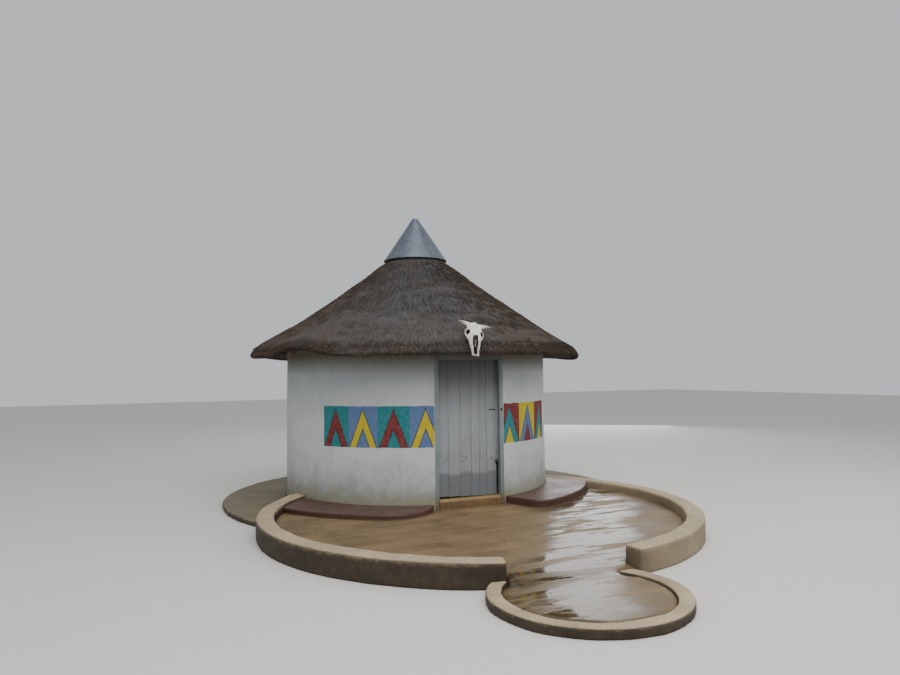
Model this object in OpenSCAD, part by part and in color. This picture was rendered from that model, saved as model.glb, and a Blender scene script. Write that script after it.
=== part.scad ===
// Rondavel: a round hut with a thatched cone roof, a plank door, wall benches
// and a walled stoep with a round landing step in front of it.
// The origin is the hut's centre at ground level. The door faces -Y.
// An azimuth is counted from the door's direction towards +X.

/* [Walls] */
// Outside radius of the round wall
wall_r = 1900; // [1500:10:2600]
// Thickness of the plastered wall
wall_t = 220; // [150:10:320]
// Height of the wall's top
wall_h = 2217; // [2150:1:2700]
// Height of the floor inside
floor_h = 240; // [150:5:400]

/* [Roof] */
// Pitch of the rafters in degrees
pitch = 33; // [28:0.1:40]
// How far the thatch reaches past the wall, at its underside
overhang = 430; // [250:10:600]
// Thickness of the thatch at the eave, square to the slope
eave_t = 125; // [100:5:220]
// How far the eave's upper rim leans out past its lower edge
eave_lean = 60; // [20:5:90]
// Upright thickness of the thatch at the cap's foot
ridge_t = 200; // [180:1:320]
// Hollow of the roof's line, as a share of its rise
roof_hollow = 0.16; // [0:0.01:0.2]
// Radius of a rafter pole at its foot
rafter_foot_r = 48; // [35:1:60]
// Radius of a rafter pole at its tip
rafter_tip_r = 30; // [25:1:32]
// Depth of the notch that seats a rafter on the wall plate
rafter_notch = 22; // [15:1:28]
// Radius of a lath
lath_r = 18; // [12:1:25]
// Distance between laths along the slope
lath_pitch = 290; // [250:10:300]
// Thickness of the wall plate
plate_t = 60; // [50:5:80]
// Width of the wall plate
plate_w = 90; // [60:5:120]

/* [Cap] */
// Radius of the sheet cap's foot
cap_r = 460; // [400:5:560]
// Height of the sheet cap
cap_h = 650; // [500:5:800]
// Radius of the cap's blunt tip
cap_tip_r = 40; // [20:1:45]
// Height of the dark skirt under the cap
skirt_h = 45; // [30:1:70]
// Radius of the post's hub that the rafters meet
hub_r = 130; // [125:1:180]
// Radius of the post above the hub
post_r = 55; // [40:1:80]

/* [Doorway] */
// Clear width between the jambs
door_w = 856; // [700:1:1100]
// Height of the frame head's underside
door_top = 1985; // [1800:5:2050]
// Width of a jamb's face
jamb_face = 55; // [45:1:80]
// Height of the frame head's face
head_face = 70; // [50:1:90]
// Depth of the frame's stop, in front of the leaf
stop_d = 60; // [40:1:80]
// Depth of the rebate behind the stop
rebate_d = 52; // [52:1:70]
// Width of the rebate
rebate_w = 17; // [15:1:22]
// Height of the threshold at the leaf
sill_h = 250; // [200:5:300]
// How far the threshold's nose stands out of the frame
sill_nose = 28; // [10:1:80]
// Drop of the nose towards its front edge
sill_drop = 12; // [5:1:40]

/* [Door leaf] */
// Thickness of the boards
board_t = 22; // [18:1:28]
// Gap between two boards
board_gap = 3; // [2:0.5:5]
// Gap at the leaf's free edge, filled higher up by a narrow edge board
latch_gap = 26; // [20:1:36]
// Thickness of the ledges and braces
ledge_t = 25; // [20:1:25]
// Height of a ledge
ledge_w = 110; // [80:1:140]
// Width of a brace
brace_w = 90; // [60:1:110]
// Radius of a hinge pin
pin_r = 5; // [4:0.5:7]
// Length of a hinge strap
strap_l = 330; // [220:5:450]
// Height of the hasp on the leaf
hasp_z = 1345; // [1000:5:1500]
// Height at which the narrow edge board is broken off
strip_low = 665; // [500:5:900]
// Radius of the pull knob
knob_r = 18; // [12:1:22]

/* [Stoep] */
// Distance from the hut's centre to the stoep's centre
stoep_out = 2203; // [2000:1:2900]
// Sideways offset of the stoep's centre
stoep_side = -82; // [-300:1:300]
// Outside radius of the stoep's kerb
stoep_r = 2584; // [2300:1:3200]
// Width of the kerb
kerb_w = 198; // [140:1:260]
// Height of the kerb
kerb_h = 240; // [200:5:320]
// Height of the stoep's floor at the hut
stoep_high = 148; // [110:1:180]
// Height of the stoep's floor at the way out
stoep_low = 82; // [80:1:110]
// Turn of the way out from the door's direction, in degrees
path_turn = -6.5; // [-20:0.5:20]
// Half of the way out through the kerb, as an angle
path_half = 14.6; // [10:0.1:18]

/* [Landing] */
// Distance from the stoep's centre to the landing's centre
landing_out = 2988; // [2700:1:3600]
// Turn of the landing from the door's direction, in degrees
landing_turn = -9.5; // [-20:0.5:20]
// Outside radius of the landing
landing_r = 815; // [600:5:1000]
// Width of the landing's raised rim
rim_w = 128; // [80:1:160]
// Height of the rim
rim_h = 85; // [70:1:110]
// Height of the landing's floor
landing_h = 72; // [50:1:80]

/* [Benches and apron] */
// Width of the benches along the wall
bench_w = 585; // [400:5:640]
// Height of the left bench
left_bench_h = 205; // [190:1:280]
// Height of the right bench
right_bench_h = 235; // [190:1:300]
// Angle between the door frame's side and a bench's end
bench_start = 0.5; // [0.5:0.1:12]
// Radius of the left bench's round corner
left_corner = 550; // [100:10:560]
// Radius of the right bench's round corner
right_corner = 200; // [100:10:560]
// Width of the apron behind the hut
apron_w = 1000; // [600:10:1300]
// How far the apron reaches further out on the right than on the left, halved
apron_shift = 120; // [0:10:200]
// Thickness of the apron
apron_h = 70; // [40:5:100]

/* [Skull] */
// Length of the cattle skull
skull_l = 525; // [400:5:560]
// Sideways place of the skull over the door
skull_x = -128; // [-300:1:300]
// How steeply the skull lies, in degrees
skull_lean = 52.4; // [40:0.1:65]
// How far the skull is rolled aside, in degrees
skull_roll = 15; // [-30:1:30]

/* [Hidden] */
$fn = 240;
// Gap at which pieces with curved or hard faces rest beside each other
seat = 0.3;
// Running room round the moving leaf
run = 5;
// Running room of a hinge eye on its pin
pin_room = 0.08;
rafter_count = 12;
rafter_step = 360 / rafter_count;
lath_count = 8;
side_count = 7;
far = 20000;

wall_in_r = wall_r - wall_t;
frame_w = door_w + 2 * jamb_face;
frame_d = stop_d + rebate_d;
frame_top = door_top + head_face;
// The frame's face lies where the round wall meets its jambs, just proud of it
frame_y = -sqrt(pow(wall_r, 2) - pow(frame_w / 2, 2)) - 4;
// The jambs stand on the threshold's base, just below the stoep's floor
jamb_foot = stoep_high - 8;
door_edge_a = asin(frame_w / 2 / wall_r);
side_step = (360 - 2 * door_edge_a) / side_count;
// Seam between two neighbouring stretches of wall, in degrees
seam_a = asin(seat / wall_in_r);

// The leaf hangs behind the stop and laps it by rebate_w less the running room
leaf_left = -door_w / 2 - rebate_w + run;
leaf_right = door_w / 2 - latch_gap;
leaf_w = leaf_right - leaf_left;
leaf_low = sill_h + run + 2;
leaf_high = door_top + rebate_w - run;
leaf_y = frame_y + stop_d + run;
ledge_y = leaf_y + board_t;
back_y = ledge_y + ledge_t;
board_shares = [168, 159, 161, 111, 102, 140];
// The boards' lower ends are worn to an uneven line
board_lifts = [20, 14, 7, 2, 0, 0];
strip_left = leaf_right + board_gap;
strip_right = door_w / 2 + rebate_w - run - 2;
ledge_in = 20;
ledge_zs = [leaf_low + 160, (leaf_low + leaf_high) / 2, leaf_high - 160];

eye_r = 2 * pin_r;
eye_h = 38;
ear_h = 14;
strap_t = 5;
strap_w = 38;
pin_x = leaf_left - run / 2;
pin_y = back_y + eye_r;
hinge_zs = [ledge_zs[0], ledge_zs[2]];

// The underside of the thatch is a cone through its lower edge at the eave
plate_mid_r = wall_r - wall_t / 2;
plate_out_r = plate_mid_r + plate_w / 2;
plate_top = wall_h + seat + plate_t;
lath_d = lath_r + seat;
rafter_d = 2 * lath_d;
rafter_lean = atan((rafter_foot_r - rafter_tip_r) / rafter_l());
eave_r = wall_r + overhang;
rafter_low_d = rafter_d + 2 * rafter_foot_r - 4;
eave_z = plate_top - rafter_notch + rafter_low_d / cos(pitch)
    - (eave_r - plate_mid_r) * tan(pitch);
rim_r = eave_r + eave_lean;
rim_z = eave_z + eave_t * cos(pitch);
ridge_z = under_z(cap_r) + ridge_t;
rafter_start = 240;
lath_start = 265;
function rafter_l() = (wall_r + overhang) / cos(pitch);
function under_z(r) = eave_z + (eave_r - r) * tan(pitch);
// A point s up the slope from the eave's lower edge and d below the thatch
function roof_pt(s, d) = [eave_r - s * cos(pitch) - d * sin(pitch),
    eave_z + s * sin(pitch) - d * cos(pitch)];
// Height of the thatch's top at a radius
function thatch_z(r) = let (t = (rim_r - r) / (rim_r - cap_r))
    rim_z + (ridge_z - rim_z) * ((1 - roof_hollow) * t + roof_hollow * t * t);
// The thatch's top is drawn in straight steps from the rim to the post
thatch_steps = 14;
function thatch_r(i) = rim_r - 14 - (rim_r - 14 - 2 * post_r) * i / thatch_steps;
// Height at a radius r of the centre of a ball that rests on the thatch
function on_thatch(r, ball) = max([for (i = [0:3])
    let (r0 = thatch_r(i), r1 = thatch_r(i + 1), rise = (thatch_z(r1) - thatch_z(r0)) / (r0 - r1))
    thatch_z(r0) + (r0 - r) * rise + (ball + seat) * norm([1, rise])]);

cap_z = thatch_z(cap_r) + skirt_h;
cap_drop = 5;
function cap_pt(t) = [cap_tip_r + (cap_r + 15 - cap_tip_r) * (1 - t), cap_z + cap_h * t];
post_top_t = 1 - (post_r - cap_tip_r) / (cap_r + 15 - cap_tip_r);
post_top = cap_pt(post_top_t)[1] - cap_drop - seat;
hub_low = rafter_z(hub_r) - 110;
function rafter_z(r) = under_z(r) - rafter_d / cos(pitch);

kerb_in_r = stoep_r - kerb_w;
landing_in_r = landing_r - rim_w;
path_a = [path_turn - path_half, path_turn + path_half];
path_seat_a = asin(seat / kerb_in_r);
stoep_fall = atan((stoep_high - stoep_low) / (stoep_out + stoep_r - wall_r));

// Shared shapes

// Turns a piece that is drawn along +X to an azimuth
module at_azimuth(a) rotate([0, 0, a - 90]) children();

// Sweeps a profile round the hut's axis from one azimuth to another
module sweep(a0, a1) at_azimuth(a0) rotate_extrude(angle = a1 - a0) children();

// Section of a cast kerb whose two upper edges are rounded
module kerb_profile(r0, w, h, corner) {
    arc = [0:15:90];
    polygon(concat([[r0, 0], [r0 + w, 0]],
        [for (a = arc) [r0 + w - corner + corner * cos(a), h - corner + corner * sin(a)]],
        [for (a = arc) [r0 + corner - corner * sin(a), h - corner + corner * cos(a)]]));
}

module disc(r, h) cylinder(r = r, h = h);

module at_stoep() translate([stoep_side, -stoep_out, 0]) children();

module at_landing() at_stoep() at_azimuth(landing_turn) translate([landing_out, 0, 0]) children();

// A point in plan at an azimuth and a distance from the centre
function plan_pt(a, r) = [r * sin(a), -r * cos(a)];

// A wedge about the origin between two azimuths
module wedge(a0, a1, r, h) linear_extrude(h)
    polygon([[0, 0], for (i = [0:6]) plan_pt(a0 + (a1 - a0) * i / 6, r)]);

// The clear space of the hut's own round wall, with its seat
module hut_space(h) translate([0, 0, -1]) disc(wall_r + seat, h + 2);

// Walls and floor

// Section of the wall from a height up, its outer top edge bevelled under the rafters
module wall_profile(low) polygon([[wall_in_r, low], [wall_r, low],
    [wall_r, wall_h - (wall_r - plate_out_r) * tan(pitch)], [plate_out_r, wall_h], [wall_in_r, wall_h]]);

module wall_side(i) color("ivory") difference() {
    a0 = door_edge_a + i * side_step;
    lap = 6;
    sweep(i == 0 ? a0 - lap : a0 + seam_a, i == side_count - 1 ? a0 + side_step + lap : a0 + side_step)
        wall_profile(0);
    translate([-frame_w / 2, -far, -1]) cube([frame_w, far, wall_h + 2]);
}

module wall_over_door() color("ivory") intersection() {
    rotate_extrude() wall_profile(frame_top);
    translate([-frame_w / 2, -far, 0]) cube([frame_w, far, far]);
}

module hut_floor() color("rosybrown") disc(wall_in_r - seat, floor_h);

// The sill runs from the hut's floor to a nose that stands out between the jambs
module door_threshold() color("peru") difference() {
    half = frame_w / 2;
    rotate([90, 0, 90]) translate([0, 0, -half]) linear_extrude(2 * half) polygon([
        [frame_y - sill_nose, 0], [frame_y - sill_nose, sill_h - sill_drop],
        [frame_y, sill_h], [-wall_in_r / 2, sill_h], [-wall_in_r / 2, 0]]);
    translate([0, 0, -1]) disc(wall_in_r, far);
    for (m = [0, 1]) mirror([m, 0, 0]) {
        translate([door_w / 2, frame_y - far, -1]) cube([far, far, far]);
        translate([door_w / 2, frame_y - 1, jamb_foot]) cube([far, frame_d + 1, far]);
    }
}

// Stoep and landing

// The kerb's clear way out
module path_wedge() at_stoep() translate([0, 0, -1]) wedge(path_a[0], path_a[1], 2 * stoep_r, 2 * kerb_h);

module stoep_kerb(a0, a1) color("tan") difference() {
    at_stoep() sweep(a0, a1) kerb_profile(kerb_in_r, kerb_w, kerb_h, 18);
    hut_space(kerb_h);
}

module stoep_kerb_left() stoep_kerb(-165, path_a[0]);

module stoep_kerb_right() stoep_kerb(path_a[1], 165);

// The floor falls from the hut's wall to the way out
module stoep_floor() color("tan") difference() {
    intersection() {
        at_stoep() union() {
            disc(kerb_in_r - seat, stoep_high);
            intersection() {
                disc(stoep_r, stoep_high);
                wedge(path_a[0] + path_seat_a, path_a[1] - path_seat_a, 2 * stoep_r, stoep_high);
            }
        }
        translate([0, -wall_r, stoep_high]) rotate([stoep_fall, 0, 0])
            translate([-far / 2, -far, -far]) cube([far, 2 * far, far]);
    }
    difference() {
        hut_space(stoep_high);
        translate([-frame_w / 2, -far, -2]) cube([frame_w, far, far]);
    }
    bench_space(-1);
    bench_space(1);
    translate([-frame_w / 2, frame_y - seat, -1]) cube([frame_w, far, far]);
    translate([-door_w / 2 - seat, frame_y - sill_nose - seat, -1]) cube([door_w + 2 * seat, far, far]);
}

module landing_floor() color("tan") difference() {
    at_landing() disc(landing_in_r - seat, landing_h);
    at_stoep() translate([0, 0, -1]) disc(stoep_r + seat, kerb_h);
}

module landing_rim() color("tan") difference() {
    at_landing() rotate_extrude() kerb_profile(landing_in_r, rim_w, rim_h, 14);
    at_stoep() translate([0, 0, -1]) disc(stoep_r + seat, kerb_h);
}

// Benches and apron

// One bench's outline in plan, grown by g, on the side of the sign given. Its
// outer edge is cut round, and its corner is a short fan of flat facets.
module bench_body(side, h, g) {
    in_r = wall_r - wall_t / 2;
    out_r = wall_r + bench_w + g;
    round = side < 0 ? left_corner : right_corner;
    turn_r = wall_r + bench_w - round;
    turn_a = door_edge_a + bench_start + asin(round / wall_r);
    function from_turn(out, back) = plan_pt(turn_a, turn_r + out) - back * [cos(turn_a), sin(turn_a)];
    mirror([side < 0 ? 1 : 0, 0, 0]) intersection() {
        disc(out_r - 0.5, h);
        linear_extrude(h) polygon(concat([from_turn(in_r - turn_r, round + g)],
            [for (t = [0:7.5:90]) from_turn((round + g) * sin(t), (round + g) * cos(t))],
            [for (t = [turn_a + 2, 50, 80]) plan_pt(t, out_r + 300)],
            [for (t = [80, 60, 40]) plan_pt(t, in_r)]));
    }
}

module bench_space(side) translate([0, 0, -1]) bench_body(side, kerb_h, seat);

module bench(side, h) color("brown") difference() {
    intersection() {
        bench_body(side, h, 0);
        at_stoep() disc(kerb_in_r - seat, h);
    }
    hut_space(h);
}

module bench_left() bench(-1, left_bench_h);

module bench_right() bench(1, right_bench_h);

// A stretch of the round apron, whose rim is centred to one side of the hut
module apron(a0, a1) color("darkkhaki") difference() {
    intersection() {
        sweep(a0, a1) translate([wall_r + seat, 0]) square([apron_w + 2 * apron_shift, apron_h]);
        translate([apron_shift, 0, 0]) disc(wall_r + apron_w, apron_h);
    }
    at_stoep() translate([0, 0, -1]) disc(stoep_r + seat, kerb_h);
}

module apron_left() apron(-135, -45);

module apron_back() apron(135, 225);

module apron_right() apron(45, 135);

// Door frame

// One jamb drawn on the side of the sign given, with its rebate cut
module jamb(side) color("darkolivegreen") mirror([side < 0 ? 1 : 0, 0, 0]) difference() {
    translate([door_w / 2, frame_y, jamb_foot]) cube([jamb_face, frame_d, door_top - jamb_foot]);
    translate([door_w / 2 - 1, frame_y + stop_d, sill_h]) cube([rebate_w + 1, frame_d, door_top]);
}

module frame_left_jamb() jamb(-1);

module frame_right_jamb() jamb(1);

module frame_head() color("darkolivegreen") difference() {
    translate([-frame_w / 2, frame_y, door_top]) cube([frame_w, frame_d, head_face]);
    translate([-door_w / 2 - rebate_w, frame_y + stop_d, door_top - 1])
        cube([door_w + 2 * rebate_w, frame_d, rebate_w + 1]);
}

// Door leaf

function share_sum(i) = i == 0 ? 0 : board_shares[i - 1] + share_sum(i - 1);
function board_x(i) = leaf_left + i * board_gap
    + (leaf_w - (len(board_shares) - 1) * board_gap) * share_sum(i) / share_sum(len(board_shares));

module door_boards() color("slategray") {
    for (i = [0:len(board_shares) - 1]) translate([board_x(i), leaf_y, leaf_low + board_lifts[i]])
        cube([board_x(i + 1) - board_x(i) - board_gap, board_t, leaf_high - leaf_low - board_lifts[i]]);
    translate([strip_left, leaf_y, strip_low]) cube([strip_right - strip_left, board_t, leaf_high - strip_low]);
}

// The upper two ledges also carry the narrow edge board
module door_ledges() color("dimgray") for (z = ledge_zs) {
    x1 = (z > strip_low ? strip_right : leaf_right) - ledge_in;
    translate([leaf_left + ledge_in, ledge_y, z - ledge_w / 2])
        cube([x1 - leaf_left - ledge_in, ledge_t, ledge_w]);
}

// Each brace rises from the hinge side of one ledge to the free side of the next
module door_braces() color("dimgray") for (i = [0:1]) {
    x0 = leaf_left + 2 * ledge_in;
    x1 = leaf_right - 2 * ledge_in;
    z0 = ledge_zs[i] + ledge_w / 2 + seat;
    z1 = ledge_zs[i + 1] - ledge_w / 2 - seat;
    translate([0, back_y, 0]) rotate([90, 0, 0]) linear_extrude(ledge_t)
        polygon([[x0, z0], [x0 + brace_w, z0], [x1, z1], [x1 - brace_w, z1]]);
}

// A strap lies on its ledge and ends in an eye round the pin
module hinge_straps() color("black") for (z = hinge_zs) translate([pin_x, pin_y, z]) difference() {
    union() {
        translate([0, 0, -eye_h / 2]) cylinder(r = eye_r, h = eye_h);
        translate([0, -eye_r, -eye_h / 2]) cube([eye_r + ledge_in, strap_t, eye_h]);
        translate([eye_r + ledge_in, strap_t - eye_r, 0]) rotate([90, 0, 0]) linear_extrude(strap_t)
            polygon([[0, -strap_w / 2], [strap_l, -strap_w / 4], [strap_l, strap_w / 4], [0, strap_w / 2]]);
    }
    translate([0, 0, -eye_h]) cylinder(r = pin_r + pin_room, h = 2 * eye_h);
}

// A jamb plate carries two ears and the pin between them
module hinge_plates() color("black") for (z = hinge_zs) translate([pin_x, pin_y, z]) {
    plate_x = -door_w / 2 - jamb_face - pin_x;
    low = eye_h / 2 + 0.5;
    tall = 2 * (low + ear_h);
    translate([0, 0, -tall / 2]) cylinder(r = pin_r, h = tall);
    for (side = [-1, 1]) translate([0, 0, side > 0 ? low : -low - ear_h]) {
        cylinder(r = eye_r, h = ear_h);
        translate([plate_x, -eye_r, 0]) cube([-plate_x, strap_t, ear_h]);
    }
    translate([plate_x, -eye_r, -tall / 2]) cube([-plate_x - eye_r - 1, strap_t, tall]);
}

// A half ring of round bar that stands on a plate
module staple_loop(r, bar) rotate([90, 0, 0]) rotate_extrude(angle = 180)
    translate([r, 0]) circle(r = bar, $fn = 24);

// The slim hasp's plate on the boards with its staple, and a round pull knob
// at the lower end of the edge board
module door_hasp() color("black") {
    translate([leaf_right - 95, leaf_y - 4, hasp_z]) {
        translate([-5, 0, -7]) cube([92, 4, 14]);
        translate([72, 0.5, 0]) rotate([90, 0, 0]) staple_loop(9, 3);
    }
    translate([leaf_right - 10, leaf_y, strip_low + 22]) rotate([90, 0, 0]) {
        disc(7, 16);
        translate([0, 0, 6 + knob_r]) sphere(r = knob_r, $fn = 32);
    }
}

module jamb_staple() color("black") translate([door_w / 2 + jamb_face / 2, frame_y - 3, hasp_z]) {
    translate([-12, 0, -18]) cube([24, 3, 36]);
    translate([0, 0.5, 0]) rotate([90, 90, 0]) staple_loop(9, 3);
}

// Roof frame

// Twelve planks lie end to end on the wall's top, one under each rafter
module wall_plate() color("burlywood") for (i = [0:rafter_count - 1]) at_azimuth((i + 0.5) * rafter_step)
    translate([0, 0, wall_h + seat]) linear_extrude(plate_t) {
        r0 = plate_mid_r - plate_w / 2;
        r1 = plate_mid_r + plate_w / 2;
        half0 = r0 * tan(rafter_step / 2) - seat;
        half1 = r1 * tan(rafter_step / 2) - seat;
        polygon([[r0, -half0], [r1, -half1], [r1, half1], [r0, half0]]);
    }

// A tapered pole whose upper side carries the laths, notched over the plate
// and cut plumb where it meets the hub
module rafter(a) color("saddlebrown") at_azimuth(a) difference() {
    foot = roof_pt(rafter_start, rafter_d + rafter_foot_r);
    translate([foot[0], 0, foot[1]]) rotate([0, pitch + rafter_lean - 90, 0])
        cylinder(r1 = rafter_foot_r, r2 = rafter_tip_r, h = rafter_l());
    translate([plate_mid_r - plate_w / 2 - seat, -plate_w, wall_h])
        cube([plate_w + 2 * seat, 2 * plate_w, plate_t + 2 * seat]);
    translate([0, 0, rafter_z(0) - far / 2]) disc(hub_r + seat, far);
    translate([-far, -far / 2, 0]) cube([far, far, far]);
}

module rafter_group(first) for (i = [first:first + 2]) rafter((i + 0.5) * rafter_step);

module rafters_front() rafter_group(-2);

module rafters_right() rafter_group(1);

module rafters_back() rafter_group(4);

module rafters_left() rafter_group(7);

module laths(first, last) color("sienna") for (i = [first:last]) {
    pt = roof_pt(lath_start + i * lath_pitch, lath_d);
    rotate_extrude() translate(pt) circle(r = lath_r, $fn = 24);
}

module laths_lower() laths(0, lath_count / 2 - 1);

module laths_upper() laths(lath_count / 2, lath_count - 1);

// The turned post stands on the rafters' tips and carries the cap
module apex_post() color("saddlebrown") {
    translate([0, 0, hub_low]) disc(hub_r, rafter_z(hub_r) - hub_low);
    translate([0, 0, hub_low]) disc(post_r, post_top - hub_low);
}

// Roof covering

module thatch() color("dimgray") rotate_extrude() polygon(concat(
    [[eave_r, eave_z], [eave_r + 0.45 * eave_lean, eave_z + 12],
        [rim_r - 4, rim_z - 55], [rim_r, rim_z - 22]],
    [for (i = [0:thatch_steps]) [thatch_r(i), thatch_z(thatch_r(i))]],
    [[post_r + seat, thatch_z(2 * post_r) + 8], [post_r + seat, under_z(hub_r)],
        [hub_r + 4, under_z(hub_r + 4)]]));

module cap_skirt() color("black") {
    r = cap_r - 8;
    wall = 12;
    rotate_extrude() polygon([[r, thatch_z(r) + seat], [r, cap_z - cap_drop - seat],
        [r - wall, cap_z - cap_drop - seat], [r - wall, thatch_z(r - wall) + seat]]);
}

// Sheet metal cone with a blunt tip and a rolled rim
module roof_cap() color("lightsteelblue") rotate_extrude() {
    polygon([cap_pt(0), cap_pt(1), [0, cap_z + cap_h], [0, cap_z + cap_h - cap_drop],
        cap_pt(1) - [0, cap_drop], cap_pt(0) - [0, cap_drop]]);
    translate(cap_pt(0) - [0, cap_drop / 2]) circle(r = 5, $fn = 16);
}

// Cattle skull

// Bone swelling between balls of radius r at points p, one link for each pair
module bone(balls, fn = 16) for (i = [0:len(balls) - 2]) hull() for (b = [balls[i], balls[i + 1]])
    translate([b[0], b[1], b[2]]) sphere(r = b[3], $fn = fn);

// The back of the braincase, on which the skull rests: its distance behind
// the face, its distance below the poll and its radius
skull_nape = [116, 62, 38];

// Drawn 480 long with the poll at the origin, the muzzle along -Z and the face to -Y
module skull_form() difference() {
    union() {
        bone([[0, 32, -40, 46], [0, 30, -130, 48], [0, 28, -215, 42], [0, 30, -300, 30]]);
        bone([[0, 32, -40, 46], [0, skull_nape[0], -skull_nape[1], skull_nape[2]]], 40);
        bone([[30, 34, -462, 11], [-30, 34, -462, 11]]);
        for (m = [0, 1]) mirror([m, 0, 0]) {
            bone([[48, 32, -40, 34], [56, 36, -120, 34], [44, 36, -215, 30], [38, 38, -300, 26],
                [29, 36, -400, 15], [30, 34, -462, 11]]);
            bone([[58, 36, -112, 28], [92, 38, -128, 17], [97, 50, -160, 11], [84, 46, -196, 13], [56, 42, -232, 20]]);
            bone([[58, 30, -36, 29], [112, 24, -26, 21], [152, 18, -20, 16], [190, 12, -24, 8]]);
        }
    }
    for (m = [0, 1]) mirror([m, 0, 0]) translate([82, 20, -161]) sphere(r = 24, $fn = 16);
    hull() for (b = [[-212, 13], [-250, 24], [-430, 17]]) translate([0, -2, b[0]]) sphere(r = b[1], $fn = 16);
    hull() for (z = [-330, -430]) translate([0, 34, z]) sphere(r = 13, $fn = 16);
}

// The skull lies on its nape just above the eave, rolled aside, with its
// muzzle hanging out over the rim
module cattle_skull() color("antiquewhite") {
    s = skull_l / 480;
    tilt = skull_lean - 90;
    // The nape's centre, turned as the skull is
    rolled = s * [-skull_nape[1] * sin(skull_roll), skull_nape[0], -skull_nape[1] * cos(skull_roll)];
    nape = [rolled[0], rolled[1] * cos(tilt) - rolled[2] * sin(tilt), rolled[1] * sin(tilt) + rolled[2] * cos(tilt)];
    poll_y = 110 - rim_r;
    poll_z = on_thatch(norm([skull_x + nape[0], poll_y + nape[1]]), s * skull_nape[2]) - nape[2];
    translate([skull_x, poll_y, poll_z]) rotate([tilt, 0, 0]) rotate([0, skull_roll, 0]) scale(s) skull_form();
}

wall_side(6);  // wall_front_left
wall_side(5);  // wall_left
wall_side(4);  // wall_back_left
wall_side(3);  // wall_back
wall_side(2);  // wall_back_right
wall_side(1);  // wall_right
wall_side(0);  // wall_front_right
wall_over_door();
hut_floor();
door_threshold();
stoep_floor();
stoep_kerb_left();
stoep_kerb_right();
landing_floor();
landing_rim();
bench_left();
bench_right();
apron_left();
apron_back();
apron_right();
frame_left_jamb();
frame_right_jamb();
frame_head();
door_boards();
door_ledges();
door_braces();
hinge_straps();
hinge_plates();
door_hasp();
jamb_staple();
wall_plate();
rafters_front();
rafters_right();
rafters_back();
rafters_left();
laths_lower();
laths_upper();
apex_post();
thatch();
cap_skirt();
roof_cap();
cattle_skull();
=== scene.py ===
"""Looks of the thatched rondavel: pieces, finishes, stage and camera, as an add-on."""

import functools
import math

import bpy
from mathutils import Matrix, Vector


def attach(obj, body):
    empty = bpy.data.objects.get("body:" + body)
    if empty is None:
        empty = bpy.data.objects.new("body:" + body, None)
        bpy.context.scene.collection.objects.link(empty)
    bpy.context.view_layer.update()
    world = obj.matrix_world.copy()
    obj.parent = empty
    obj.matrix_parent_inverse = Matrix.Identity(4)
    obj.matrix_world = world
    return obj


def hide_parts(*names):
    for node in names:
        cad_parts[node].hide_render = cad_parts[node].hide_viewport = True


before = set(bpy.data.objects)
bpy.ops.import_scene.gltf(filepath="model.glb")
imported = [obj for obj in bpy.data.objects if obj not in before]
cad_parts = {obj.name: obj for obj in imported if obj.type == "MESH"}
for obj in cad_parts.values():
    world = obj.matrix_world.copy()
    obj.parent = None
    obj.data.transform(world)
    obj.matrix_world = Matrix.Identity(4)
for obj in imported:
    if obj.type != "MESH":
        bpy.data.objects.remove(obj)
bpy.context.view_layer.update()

bl_info = {
    "name": "Thatched rondavel",
    "version": (1, 0, 0),
    "blender": (4, 5, 0),
    "location": "3D View > Sidebar > Rondavel",
    "description": "Builds the visible pieces and finishes of a thatched round hut",
    "category": "Object",
}


def linear(code):
    """An sRGB hex colour as linear red, green, blue and alpha."""
    parts = [int(code[i : i + 2], 16) / 255 for i in (1, 3, 5)]
    return tuple(p / 12.92 if p <= 0.04045 else ((p + 0.055) / 1.055) ** 2.4 for p in parts) + (1.0,)


def colour(code, name, description):
    """A colour property whose default is an sRGB hex colour."""
    return bpy.props.FloatVectorProperty(
        name=name, description=description, subtype="COLOR", size=4, min=0, max=1, default=linear(code)
    )


def length(value, name, description):
    """A length property in metres."""
    return bpy.props.FloatProperty(name=name, description=description, subtype="DISTANCE", unit="LENGTH", default=value)


class RondavelSizes(bpy.types.PropertyGroup):
    """Sizes that a user of the hut may change."""

    wall_wave: length(0.012, "Wall wave", "How far the hand plastered wall wanders from a true round")
    thatch_wave: length(0.03, "Thatch wave", "How far the thatch wanders from a true cone")
    straw_length: length(0.15, "Straw length", "Length of a loose straw on the roof")
    straw_density: bpy.props.FloatProperty(
        name="Straws", description="Loose straws on each square metre of thatch", default=1500, min=0
    )
    fringe_density: bpy.props.FloatProperty(
        name="Fringe straws", description="Cut straws on each square metre of the eave", default=8000, min=0
    )
    cast_wave: length(0.02, "Cement wave", "How uneven the hand cast cement is")
    arris: length(0.004, "Arris", "Worn edge of the planed timber")


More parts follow.
